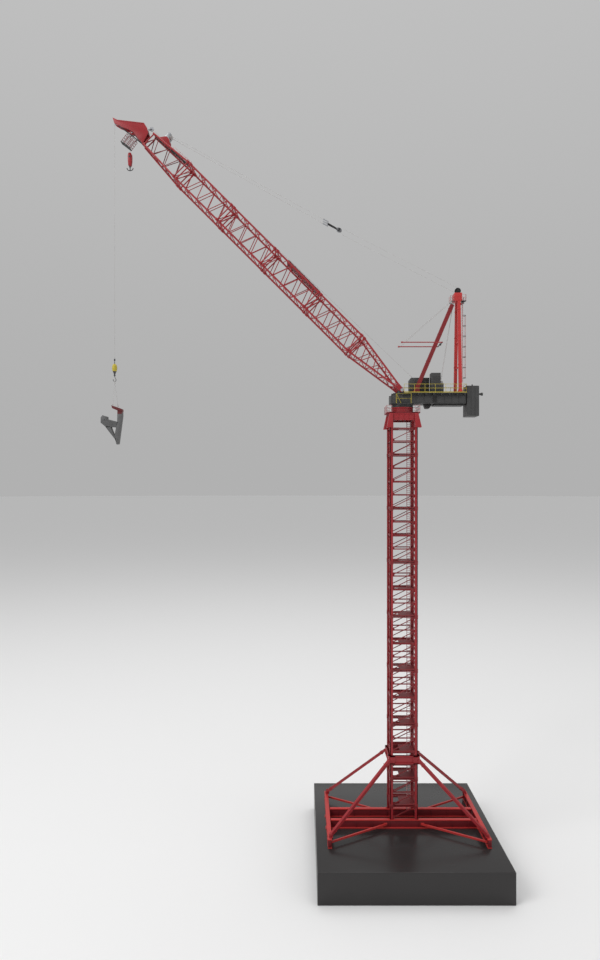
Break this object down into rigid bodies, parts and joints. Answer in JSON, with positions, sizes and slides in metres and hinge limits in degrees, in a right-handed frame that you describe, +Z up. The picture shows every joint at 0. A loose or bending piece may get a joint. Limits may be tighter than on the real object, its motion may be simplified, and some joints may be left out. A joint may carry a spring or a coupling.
{
  "type": "toy tower crane",
  "caption": "Display model of a luffing-jib tower crane on a square-edged plinth: lattice tower, slewing deck, A-frame, luffing lattice jib, whip line with hanging load.",
  "frame": {"origin": "centre of the plinth's underside, which is under the tower axis", "axes": "+Z up the tower, -X along the jib at rest, +X towards the counterweight, +Y to the back"},
  "size_m": [0.6712, 0.326, 1.2691],
  "materials": {
    "plinth_black": "smooth matt, faint sheen",
    "crane_red": "satin paint",
    "orange_red": "satin paint",
    "dark_grey_paint": "satin paint",
    "yellow_paint": "satin paint",
    "pale_paint": "satin paint",
    "black_paint": "satin paint",
    "bare_steel": "dull bare metal",
    "rope_steel": "laid steel wire"
  },
  "bodies": {
    "base": {"plinth": "plinth_black", "front_cross_beam": "crane_red", "back_cross_beam": "crane_red", "left_sill_beam": "crane_red", "right_sill_beam": "crane_red", "strut_front_left": "crane_red", "strut_front_right": "crane_red", "strut_back_left": "crane_red", "strut_back_right": "crane_red", "strut_collar": "crane_red", "tower_section_1": "crane_red", "tower_section_2": "crane_red", "tower_section_3": "crane_red", "tower_section_4": "crane_red", "tower_section_5": "crane_red", "tower_section_6": "crane_red", "tower_section_7": "crane_red", "tower_ladder": "pale_paint", "tower_head": "crane_red", "head_walkway": "pale_paint", "slew_ring": "crane_red"},
    "upperworks": {"turntable": "dark_grey_paint", "deck_frame": "dark_grey_paint", "deck_cage": "yellow_paint", "counterweight": "dark_grey_paint", "winch_house": "dark_grey_paint", "power_pack": "dark_grey_paint", "deck_handrail": "yellow_paint", "aframe_back_legs": "orange_red", "aframe_front_strut": "crane_red", "aframe_head": "orange_red", "aframe_ladder": "pale_paint", "jib_buffer_rods": "crane_red"},
    "jib": {"jib_foot_pin": "bare_steel", "jib_foot_section": "crane_red", "jib_section_1": "crane_red", "jib_section_2": "crane_red", "jib_section_3": "crane_red", "jib_section_4": "crane_red", "jib_top_section": "crane_red", "jib_head": "crane_red", "head_basket": "black_paint", "lead_sheave": "bare_steel", "hoist_rope": "rope_steel"},
    "hoist_drum": {"hoist_drum": "bare_steel"},
    "tip_sheave": {"tip_sheave": "bare_steel"},
    "whip_line": {"whip_lead": "rope_steel", "whip_rope": "rope_steel"},
    "whip_ball": {"hook_ball": "yellow_paint"},
    "whip_hook": {"whip_hook": "bare_steel"},
    "load": {"load_slings": "rope_steel", "load_bracket": "dark_grey_paint"},
    "main_lead": {"main_sheave": "bare_steel", "main_rope": "rope_steel"},
    "main_block": {"main_block": "crane_red"},
    "ramshorn_hook": {"ramshorn_hook": "bare_steel"},
    "luff_lead": {"apex_sheave": "black_paint", "luff_rope": "rope_steel"},
    "bridle": {"spreader": "dark_grey_paint"},
    "pendants": {"pendants": "rope_steel"}
  },
  "joints": [
    {"name": "slew", "type": "hinge", "parent": "base", "child": "upperworks", "pos_m": [0, 0, 0.768], "axis": [0, 0, 1], "continuous": true},
    {"name": "luff", "type": "hinge", "parent": "upperworks", "child": "jib", "pos_m": [-0.003, 0, 0.796], "axis": [0, 1, 0], "range_deg": [0, 33], "deforming": ["hoist_rope"]},
    {"name": "drum_turn", "type": "hinge", "parent": "upperworks", "child": "hoist_drum", "pos_m": [0.0253, 0.0144, 0.806], "axis": [0, 1, 0], "continuous": true},
    {"name": "luff_lead", "type": "hinge", "parent": "upperworks", "child": "luff_lead", "pos_m": [0.0965, 0, 0.9703], "axis": [0, 1, 0], "range_deg": [0, 36.2]},
    {"name": "luff_haul", "type": "slide", "parent": "luff_lead", "child": "bridle", "axis": [0.8896, 0, -0.4567], "range_m": [0, 0.1101], "deforming": ["luff_rope"]},
    {"name": "pendant_turn", "type": "hinge", "parent": "jib", "child": "pendants", "pos_m": [-0.40153, 0, 1.23808], "axis": [0, 1, 0], "range_deg": [0, 4.2]},
    {"name": "tip_turn", "type": "hinge", "parent": "jib", "child": "tip_sheave", "pos_m": [-0.49451, 0, 1.26205], "axis": [0, 1, 0], "continuous": true},
    {"name": "whip_plumb", "type": "hinge", "parent": "jib", "child": "whip_line", "pos_m": [-0.49451, 0, 1.26205], "axis": [0, 1, 0], "range_deg": [-33.5, 0]},
    {"name": "whip_hoist", "type": "slide", "parent": "whip_line", "child": "whip_ball", "axis": [0, 0, 1], "range_m": [-0.6, 0.33], "deforming": ["whip_rope"]},
    {"name": "hook_swivel", "type": "hinge", "parent": "whip_ball", "child": "whip_hook", "pos_m": [-0.49806, 0, 0.8246], "axis": [0, 0, 1], "continuous": true},
    {"name": "load_swing", "type": "hinge", "parent": "whip_hook", "child": "load", "pos_m": [-0.49776, 0, 0.8155], "axis": [0, 1, 0], "range_deg": [-14, 14]},
    {"name": "main_plumb", "type": "hinge", "parent": "jib", "child": "main_lead", "pos_m": [-0.46778, 0, 1.24296], "axis": [0, 1, 0], "range_deg": [-33.5, 0]},
    {"name": "main_hoist", "type": "slide", "parent": "main_lead", "child": "main_block", "axis": [0, 0, 1], "range_m": [-0.35, 0], "deforming": ["main_rope"]},
    {"name": "ramshorn_turn", "type": "hinge", "parent": "main_block", "child": "ramshorn_hook", "pos_m": [-0.47133, 0, 1.184], "axis": [0, 0, 1], "continuous": true}
  ],
  "couplings": [
    {"joint": "luff_lead", "follows": "luff", "ratio": 1.0831},
    {"joint": "luff_haul", "follows": "luff", "m_per_rad": 0.18942},
    {"joint": "pendant_turn", "follows": "luff", "ratio": 0.11269},
    {"joint": "whip_plumb", "follows": "luff", "ratio": -1},
    {"joint": "main_plumb", "follows": "luff", "ratio": -1},
    {"joint": "drum_turn", "follows": "whip_hoist", "rad_per_m": 135.14},
    {"joint": "tip_turn", "follows": "whip_hoist", "rad_per_m": 281.69}
  ]
}
